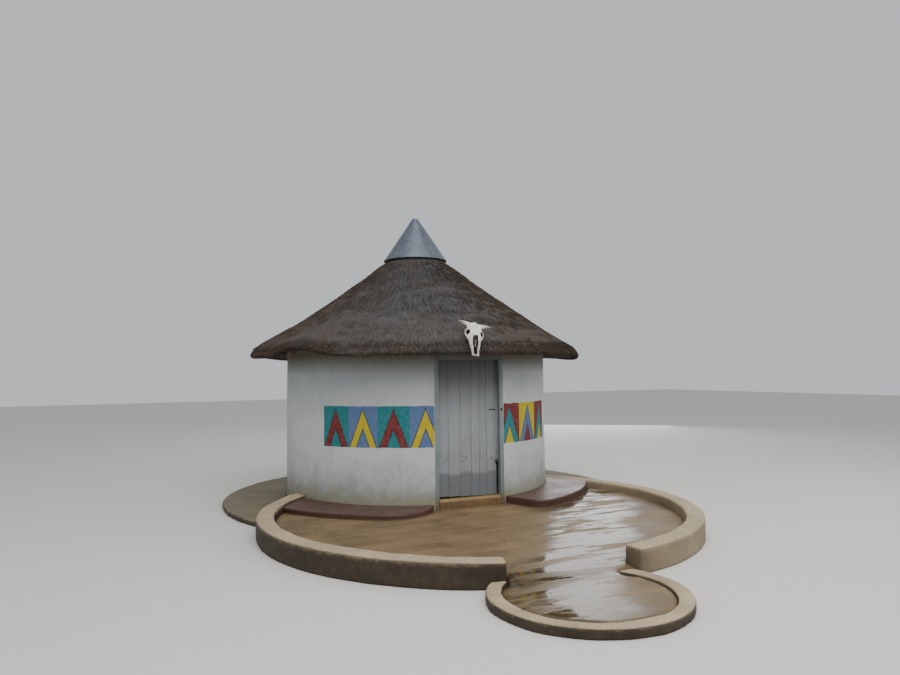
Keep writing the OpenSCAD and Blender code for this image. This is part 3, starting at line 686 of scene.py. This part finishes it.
class RONDAVEL_OT_wall(bpy.types.Operator):
    """Build the plastered wall, one round from jamb to jamb and over the door"""

    bl_idname = "rondavel.wall"
    bl_label = "Wall"

    def execute(self, context):
        sizes = context.scene.rondavel_sizes
        # The wall's outer top edge is cut to the thatch's slope over this width
        slope = 0.065
        section = [(WALL_IN_R, 0), (WALL_R, 0), (WALL_R, WALL_TOP - slope * math.tan(PITCH)),
                   (WALL_R - slope, WALL_TOP), (WALL_IN_R, WALL_TOP)]
        wall = turned(refined(section, step=0.055), steps=240)
        # The doorway, cut from 1 m below the ground to the frame's top
        doorway = drawn(bpy.ops.mesh.primitive_cube_add, size=1, location=(0, -WALL_R, FRAME_TOP / 2 - 0.5),
                        scale=(2 * FRAME_HALF, 1, FRAME_TOP + 1))
        cut(wall, doorway)

        def free(vertex):
            # The wall keeps true at the door, and wanders fully from 0.625 m off its middle
            x, y = vertex.co.xy
            return (math.hypot(x, y + WALL_R if y < 0 else 9) - 0.5) * 8

        group = weigh(wall, "free", free)
        swell(wall, 0.7, sizes.wall_wave, group)
        swell(wall, 0.09, sizes.wall_wave * 0.25, group)
        smoothed(wall, 35)
        parts = "front_left left back_left back back_right right front_right over_door".split()
        nodes = ["wall_" + part for part in parts]
        placed(wall, "plastered_wall", limewashed_plaster(), nodes=nodes)
        painted(cast_cement("screed", "#6f5d4d", "#4a3f35", gloss=0.6), "hut_floor")
        return {"FINISHED"}


def thatch_height(radius):
    """Height of the thatch's top at a radius. It runs a little hollow, steeper towards the cap."""
    t = (RIM_R - radius) / (RIM_R - CAP_R)
    return RIM_Z + (RIDGE_Z - RIM_Z) * (0.84 * t + 0.16 * t * t)


def straw_tree(name, straw, density, seed, longest, spread):
    """Nodes that strew straws over a bed, each pointing down the slope. The random draws follow from the seed."""
    tree = bpy.data.node_groups.new(name, "GeometryNodeTree")
    tree.interface.new_socket("Geometry", in_out="INPUT", socket_type="NodeSocketGeometry")
    tree.interface.new_socket("Geometry", in_out="OUTPUT", socket_type="NodeSocketGeometry")
    node = functools.partial(add, tree)
    points = node("GeometryNodeDistributePointsOnFaces", Mesh=node("NodeGroupInput"), Density=density, Seed=seed)
    down = node("VectorMath:MULTIPLY", node("GeometryNodeInputPosition"), (1, 1, 0))
    down = node("VectorMath:NORMALIZE", down)
    down = node("VectorMath:SCALE", down, math.cos(PITCH))
    down = node("VectorMath:ADD", down, (0, 0, -math.sin(PITCH)))
    turn = node("FunctionNodeAlignRotationToVector", Vector=down, axis="X")
    turn = node("FunctionNodeAlignRotationToVector", Rotation=turn, Vector=points.node.outputs["Normal"],
                axis="Z", pivot_axis="X")
    # Each straw leans off the slope by up to spread, and is 0.45 to 1 times the longest
    tilt = node("FunctionNodeRandomValue", Seed=seed + 1, data_type="FLOAT_VECTOR",
                Min=[-s for s in spread], Max=spread)
    tilt = node("FunctionNodeEulerToRotation", tilt)
    turn = node("FunctionNodeRotateRotation", turn, tilt, rotation_space="LOCAL")
    size = node("FunctionNodeRandomValue", Seed=seed + 2, data_type="FLOAT_VECTOR",
                Min=(longest * 0.45, 0.8, 0.8), Max=(longest, 1.3, 1.3))
    part = node("GeometryNodeObjectInfo", straw, True).node.outputs["Geometry"]
    laid = node("GeometryNodeInstanceOnPoints", Points=points, Instance=part, Rotation=turn, Scale=size)
    shade = node("FunctionNodeRandomValue", Seed=seed + 3, data_type="FLOAT")
    laid = node("GeometryNodeStoreNamedAttribute", Geometry=laid, Name="straw_shade", Value=shade,
                data_type="FLOAT", domain="INSTANCE")
    real = node("GeometryNodeRealizeInstances", laid)
    out = tree.nodes.new("NodeGroupOutput")
    tree.links.new(real, out.inputs[0])
    return tree


def pulled(obj, azimuth, rise, size):
    """Pulls the thatch up at one place of its eave, and what is nearer than size follows softly."""
    around = math.radians(azimuth)
    spot = Vector((EAVE_R * math.sin(around), -EAVE_R * math.cos(around)))
    near = min(obj.data.vertices, key=lambda v: (v.co.xy - spot).length).index
    select_where(obj, "vertices", lambda v: v.index == near)
    bpy.ops.transform.translate(value=(0, 0, rise), use_proportional_edit=True,
                                proportional_edit_falloff="SMOOTH", proportional_size=size)
    mode("OBJECT")


class RONDAVEL_OT_thatch(bpy.types.Operator):
    """Lay the thatch: its body, the loose straws on it and the cut fringe of the eave"""

    bl_idname = "rondavel.thatch"
    bl_label = "Thatch"

    def execute(self, context):
        sizes = context.scene.rondavel_sizes
        # The cut lip of the eave, the top's line in even steps, and the hole over the post
        outline = [(EAVE_R - 0.03, EAVE_Z + 0.02), (EAVE_R, EAVE_Z), (EAVE_R + 0.03, EAVE_Z - 0.002),
                   (EAVE_R + 0.05, EAVE_Z + 0.007), (RIM_R, EAVE_Z + 0.026), (RIM_R - 0.002, EAVE_Z + 0.046),
                   (RIM_R - 0.02, EAVE_Z + 0.078), (RIM_R - 0.05, RIM_Z + 0.01)]
        low, high = RIM_R - 0.11, 0.11
        outline += [(r, thatch_height(r)) for r in (low + (high - low) * i / 14 for i in range(15))]
        hole, post = 0.06, 0.134
        under = EAVE_Z + (EAVE_R - post) * math.tan(PITCH)
        outline += [(hole, thatch_height(high) + 0.008), (hole, under), (post, under)]
        body = turned(refined(outline, step=0.045), steps=288)

        def free(vertex):
            # The underside keeps true to the rafters, and the top to the cap
            r = math.hypot(vertex.co.x, vertex.co.y)
            over = vertex.co.z - (EAVE_Z + (EAVE_R - r) * math.tan(PITCH))
            return over * 9 * min(1.0, max(0.0, (r - 0.45) * 5))

        group = weigh(body, "free", free)
        # The eave rises to the left and dips to the right, with one hump over the wall
        pulls = ((-112, 0.04, 1.2), (68, -0.045, 1.2), (-60, 0.085, 0.62), (-38, -0.015, 0.3), (-6, 0.008, 0.4))
        for azimuth, rise, size in pulls:
            pulled(body, azimuth, rise, size)
        swell(body, 0.55, sizes.thatch_wave, group)
        swell(body, 0.14, sizes.thatch_wave * 0.45, group, 3)
        swell(body, 0.03, sizes.thatch_wave * 0.2, group, 2)
        smoothed(body, 60)
        grass = thatching_grass("thatching_grass", False)
        placed(body, "thatch_body", grass, nodes=("thatch",))

        # A straw is a thin three sided reed 1 m long, scaled to its own length
        straw = drawn(bpy.ops.mesh.primitive_cylinder_add, vertices=3, radius=0.0022, depth=1,
                      end_fill_type="NOTHING", location=(0.5, 0, 0), rotation=(0, math.pi / 2, 0))
        settled(straw)
        loose = thatching_grass("loose_grass", True)

        def strew(name, test, density, seed, longest, spread):
            only(body)
            bpy.ops.object.duplicate()
            bed = bpy.context.object
            select_where(bed, "polygons", lambda face: not test(face))
            bpy.ops.mesh.delete(type="FACE")
            mode("OBJECT")
            modify(bed, "NODES", node_group=straw_tree(name, straw, density, seed, longest, spread))
            smoothed(bed)
            placed(bed, name, loose)

        strew("loose_straws", lambda face: face.normal.z > 0.5 and 0.45 < face.center.xy.length < EAVE_R - 0.06,
              sizes.straw_density, seed=7, longest=sizes.straw_length, spread=(0.3, 0.035, 0.14))
        strew("eave_fringe", lambda face: face.normal.z < 0.75 and face.center.xy.length > EAVE_R - 0.03,
              sizes.fringe_density, seed=21, longest=0.03, spread=(0.5, 0.25, 0.2))
        bpy.data.objects.remove(straw)
        return {"FINISHED"}


def cap_point(t):
    """Radius and height of the cap's sheet at a share of its height."""
    return CAP_TIP + (CAP_R + 0.015 - CAP_TIP) * (1 - t), CAP_Z + CAP_H * t


class RONDAVEL_OT_roof_cap(bpy.types.Operator):
    """Fold the sheet cap with its seams and rolled foot, and hang the felt skirt under it"""

    bl_idname = "rondavel.roof_cap"
    bl_label = "Roof cap"

    def execute(self, context):
        round_steps, folds, fold_steps = 96, 8, 12
        outer = [cap_point(i / 24) for i in range(25)]
        inner = [(r - 0.002, z - 0.004) for r, z in reversed(outer)]
        top = CAP_Z + CAP_H
        # The tip is closed by a low dome
        dome = [(0.03, top + 0.001), (0.016, top + 0.003), (0.001, top + 0.004), (0.001, top - 0.001),
                (0.03, top - 0.003)]
        cone = turned(outer + dome + inner, steps=round_steps)
        swell(cone, 0.22, 0.006, weigh(cone, "sheet", lambda v: 1.0 if v.co.z < top - 0.02 else 0.0))
        roll = drawn(bpy.ops.mesh.primitive_torus_add, major_radius=cap_point(0)[0], minor_radius=0.0055,
                     major_segments=round_steps, minor_segments=8, location=(0, 0, CAP_Z - 0.0025))
        parts = [cone, roll]
        # The sheets join in low folded seams, one at each eighth of the cone
        line = [cap_point(0.01 + 0.96 * i / fold_steps) for i in range(fold_steps + 1)]
        for i in range(folds):
            r, z = line[0]
            fold = drawn(bpy.ops.mesh.primitive_cube_add, size=1, location=(r, 0, z), scale=(0.006, 0.01, 0.002))
            settled(fold)
            select_where(fold, "polygons", lambda face: face.normal.z > 0.9)
            for (r0, z0), (r1, z1) in zip(line, line[1:]):
                bpy.ops.mesh.extrude_region_move(TRANSFORM_OT_translate={"value": (r1 - r0, 0, z1 - z0)})
            mode("OBJECT")
            fold.rotation_euler = (0, 0, math.radians(360 / folds * i + 11.25))
            settled(fold)
            parts.append(fold)
        cap = joined(parts)
        smoothed(cap, 40)
        placed(cap, "sheet_cap", galvanised_sheet(), nodes=("roof_cap",))

        # The felt hangs from 6 mm under the sheet's foot and ends 20 mm inside the thatch
        r = CAP_R - 0.008
        low, high = thatch_height(r) - 0.02, CAP_Z - 0.006
        band = [(r, low), (r + 0.004, high), (r - 0.012, high), (r - 0.016, low)]
        skirt = turned(refined(band, step=0.012), steps=160)
        ragged = weigh(skirt, "ragged", lambda v: (CAP_Z - v.co.z) * 22)
        swell(skirt, 0.03, 0.014, ragged, 3)
        smoothed(skirt, 50)
        # The skirt's black is felt, and also painted shade in the gap under the cap's rim
        placed(skirt, "felt_skirt", bitumen_felt(), nodes=("cap_skirt",))
        return {"FINISHED"}


class RONDAVEL_OT_roof_frame(bpy.types.Operator):
    """Finish the wall plate, rafters, laths and post"""

    bl_idname = "rondavel.roof_frame"
    bl_label = "Roof frame"

    def execute(self, context):
        # The sawn timber's colours are darkened throughout, a painted shade under the eave
        painted(timber("sawn_timber", "#6f5b42", "#463627", along=LEVEL), "wall_plate")
        rafters = ["rafters_" + side for side in ("front", "right", "back", "left")]
        painted(pole("gum_pole", "#7d6650", "#4c3c2e"), *rafters, "apex_post")
        painted(pole("gum_lath", "#75604a", "#463729"), "laths_lower", "laths_upper")
        return {"FINISHED"}


def bevelled(node, width):
    """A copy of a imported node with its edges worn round, width metres wide."""
    obj = copied(node)
    modify(obj, "BEVEL", width=width, segments=2, limit_method="ANGLE", angle_limit=math.radians(35))
    smoothed(obj, 30)
    return obj


class RONDAVEL_OT_door_frame(bpy.types.Operator):
    """Set the painted jambs and head, and the staple on the jamb"""

    bl_idname = "rondavel.door_frame"
    bl_label = "Door frame"

    def execute(self, context):
        sizes, tints = context.scene.rondavel_sizes, context.scene.rondavel_colours
        upright = timber("olive_paint", tints.jambs, "#69726f", wear="#8e8068", muddy=True)
        level = timber("olive_paint_level", "#72766e", "#5a5e55", wear="#8e8068", along=LEVEL)
        for node, paint in (("frame_left_jamb", upright), ("frame_right_jamb", upright), ("frame_head", level)):
            placed(bevelled(node, sizes.arris), node + "_timber", paint, nodes=(node,))
        painted(forged_iron(), "hinge_plates", "jamb_staple", "hinge_straps", "door_hasp")
        return {"FINISHED"}


class RONDAVEL_OT_door_leaf(bpy.types.Operator):
    """Hang the leaf: uneven boards, ledges and braces"""

    bl_idname = "rondavel.door_leaf"
    bl_label = "Door leaf"

    def execute(self, context):
        upright = door_paint()
        level = timber("blue_grey_paint_level", "#80858a", "#686c70", along=LEVEL)
        for name, width, paint in (("boards", 0.0022, upright), ("ledges", 0.003, level), ("braces", 0.003, upright)):
            node = "door_" + name
            placed(bevelled(node, width), name, paint, "door", (node,))
        return {"FINISHED"}


def hand_cast(nodes, voxel, wave, smooth=4):
    """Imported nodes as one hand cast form: edges the softer the more it is smoothed, and an uneven skin."""
    obj = joined([copied(node) for node in nodes])
    modify(obj, "REMESH", mode="VOXEL", voxel_size=voxel)
    modify(obj, "SMOOTH", factor=0.5, iterations=smooth)
    swell(obj, 0.35, wave)
    swell(obj, 0.06, wave * 0.3, depth=3)
    smoothed(obj)
    return obj


class RONDAVEL_OT_stoep(bpy.types.Operator):
    """Cast the stoep's floor, kerbs, threshold and benches"""

    bl_idname = "rondavel.stoep"
    bl_label = "Stoep"

    def execute(self, context):
        sizes, tints = context.scene.rondavel_sizes, context.scene.rondavel_colours
        floors = ("stoep_floor", "landing_floor")
        floor = hand_cast(floors, 0.027, 0.003, smooth=2)

        def near_step(vertex):
            # Full within 60 mm of the stoep's edge, and nothing on the underside
            x, y, z = vertex.co
            off = abs(math.hypot(x - STOEP_X, y - STOEP_Y) - STOEP_R)
            return 1.5 - off * 8 if z > 0.04 else 0.0

        # The step down to the landing is trowelled to a slope
        step = weigh(floor, "step", near_step)
        modify(floor, "SMOOTH", factor=0.5, iterations=60, vertex_group=step)
        placed(floor, "stoep_slab", wet_cement(), nodes=floors)
        kerb = cast_cement("kerb_concrete", tints.kerb, tints.moss_and_shade, brow=0.25)
        rim = cast_cement("rim_concrete", tints.kerb, tints.moss_and_shade, brow=0.12)
        # The threshold's top is painted paler and its front darker, as painted light and shade
        ochre = cast_cement("ochre_screed", "#94784c", tints.ochre, gloss=0.65)
        polish = floor_polish()
        wave = sizes.cast_wave
        # Each node, its voxels and unevenness in metres, how often it is smoothed, its material and its slot
        for node, voxel, uneven, smooth, material, slot in (
            ("stoep_kerb_left", 0.0135, wave, 9, kerb, "concrete"),
            ("stoep_kerb_right", 0.0135, wave, 9, kerb, "concrete"),
            ("landing_rim", 0.0095, wave, 7, rim, "concrete"),
            ("door_threshold", 0.011, 0.005, 2, ochre, "ochre_screed"),
            ("bench_left", 0.0145, 0.007, 4, polish, "red_stoep_polish"),
            ("bench_right", 0.0145, 0.007, 4, polish, "red_stoep_polish"),
        ):
            name = node.removeprefix("door_") + "_cast"
            placed(hand_cast([node], voxel, uneven, smooth), name, material, nodes=(node,))
        return {"FINISHED"}


class RONDAVEL_OT_apron(bpy.types.Operator):
    """Cast the apron round the back of the hut"""

    bl_idname = "rondavel.apron"
    bl_label = "Apron"

    def execute(self, context):
        nodes = ("apron_left", "apron_back", "apron_right")
        cement = cast_cement("apron_concrete", "#70664f", "#3b3326", cracked=True)
        placed(hand_cast(nodes, 0.03, 0.01), "apron_cast", cement, nodes=nodes)
        return {"FINISHED"}


class RONDAVEL_OT_skull(bpy.types.Operator):
    """Shape the cattle skull over the door and hollow its sockets and nose"""

    bl_idname = "rondavel.skull"
    bl_label = "Cattle skull"

    def execute(self, context):
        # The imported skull's place: the poll, then its lean, its roll and its size over 0.48 m
        lie = (Matrix.Translation((-0.128, -2.28, 2.4369)) @ Matrix.Rotation(math.radians(-37.6), 4, "X")
               @ Matrix.Rotation(math.radians(15), 4, "Y") @ Matrix.Scale(1.09375, 4))
        # Each hollow's middle and reach, drawn with the muzzle along -Z and the face to -Y
        hollows = [((side * 0.079, 0.024, -0.152), (0.018, 0.052, 0.027)) for side in (-1, 1)]
        hollows += [((side * 0.017, 0.0, -0.292), (0.0155, 0.042, 0.078)) for side in (-1, 1)]
        hollows += [((0.0, 0.012, -0.395), (0.021, 0.05, 0.062)), ((0.008, -0.005, -0.232), (0.021, 0.036, 0.026))]
        skull = copied("cattle_skull")
        for middle, reach in hollows:
            cutter = drawn(bpy.ops.mesh.primitive_uv_sphere_add, segments=20, ring_count=12, radius=1)
            cutter.matrix_world = lie @ Matrix.Translation(middle) @ Matrix.Diagonal((*reach, 1))
            cut(skull, cutter)
        modify(skull, "REMESH", mode="VOXEL", voxel_size=0.0041)
        modify(skull, "SMOOTH", factor=0.5, iterations=4)
        swell(skull, 0.04, 0.006, depth=3)
        swell(skull, 0.012, 0.0025, depth=2)
        back = lie.inverted()

        def deep(co):
            at = back @ co
            # Painted shade fills the sockets and the nose
            inside = max(
                3 - 2 * sum(((a - m) / (r * 1.05)) ** 2 for a, m, r in zip(at, middle, reach))
                for middle, reach in hollows
            )
            # The horns and the muzzle have kept some brown
            horn, muzzle = min(0.7, 10 * (abs(at.x) - 0.09)), min(0.45, -2.2 * (at.z + 0.18))
            return min(1.0, max(0.0, inside, horn, muzzle))

        shade = skull.data.attributes.new("hollow", "FLOAT", "POINT")
        shade.data.foreach_set("value", [deep(v.co) for v in skull.data.vertices])
        smoothed(skull)
        placed(skull, "bone_skull", bleached_bone(), nodes=("cattle_skull",))
        return {"FINISHED"}


class RONDAVEL_OT_stage(bpy.types.Operator):
    """Set the pale floor, the soft light and the camera"""

    bl_idname = "rondavel.stage"
    bl_label = "Stage"

    def execute(self, context):
        ground = drawn(bpy.ops.mesh.primitive_plane_add, size=80, location=(0, 0, -0.002))
        ground.name = "studio_floor"
        material, *_ = finish("studio_floor", Roughness=0.9, Base_color=linear("#cfccc5"))
        ground.data.materials.append(material)
        world = bpy.data.worlds.new("studio")
        world.use_nodes = True
        sky = world.node_tree.nodes["Background"]
        sky.inputs[0].default_value = linear("#e9edf2")
        sky.inputs[1].default_value = 0.75
        context.scene.world = world
        # Each light's name, place, size in metres and power in watts
        for name, place, size, power in (
            ("key", (-2, -8.5, 9.5), 8, 1050), ("fill", (7, -6, 6), 6, 200), ("back", (8.5, 10, 3.6), 8, 420)
        ):
            lamp = drawn(bpy.ops.object.light_add, type="AREA", location=place)
            lamp.name = name + "_light"
            lamp.data.size, lamp.data.energy = size, power
            lamp.rotation_euler = (Vector((0, -1, 1)) - Vector(place)).to_track_quat("-Z", "Y").to_euler()
        # The camera where the photograph was taken, solved from the photograph
        camera = drawn(bpy.ops.object.camera_add, location=(-3.88689, -9.896, 1.84583),
                       rotation=[math.radians(a) for a in (92.7429, 0.6513, -24.1866)])
        camera.data.lens, camera.data.sensor_width = 28.1093, 36.0
        context.scene.camera = camera
        return {"FINISHED"}


class RONDAVEL_PT_pieces(bpy.types.Panel):
    """Lists the hut's pieces, sizes and colours"""

    bl_idname = "RONDAVEL_PT_pieces"
    bl_label = "Thatched rondavel"
    bl_space_type = "VIEW_3D"
    bl_region_type = "UI"
    bl_category = "Rondavel"

    def draw(self, context):
        for operator in OPERATORS:
            self.layout.operator(operator.bl_idname)
        for group in (context.scene.rondavel_sizes, context.scene.rondavel_colours):
            for name in group.__annotations__:
                self.layout.prop(group, name)


OPERATORS = (
    RONDAVEL_OT_stage,
    RONDAVEL_OT_wall,
    RONDAVEL_OT_thatch,
    RONDAVEL_OT_roof_cap,
    RONDAVEL_OT_roof_frame,
    RONDAVEL_OT_door_frame,
    RONDAVEL_OT_door_leaf,
    RONDAVEL_OT_stoep,
    RONDAVEL_OT_apron,
    RONDAVEL_OT_skull,
)
CLASSES = (RondavelSizes, RondavelColours, *OPERATORS, RONDAVEL_PT_pieces)


def register():
    for one in CLASSES:
        bpy.utils.register_class(one)
    bpy.types.Scene.rondavel_sizes = bpy.props.PointerProperty(type=RondavelSizes)
    bpy.types.Scene.rondavel_colours = bpy.props.PointerProperty(type=RondavelColours)


def unregister():
    del bpy.types.Scene.rondavel_colours
    del bpy.types.Scene.rondavel_sizes
    for one in reversed(CLASSES):
        bpy.utils.unregister_class(one)


def main():
    """Builds every piece in order."""
    register()
    for operator in OPERATORS:
        group, name = operator.bl_idname.split(".")
        getattr(getattr(bpy.ops, group), name)()


if __name__ == "__main__":
    main()
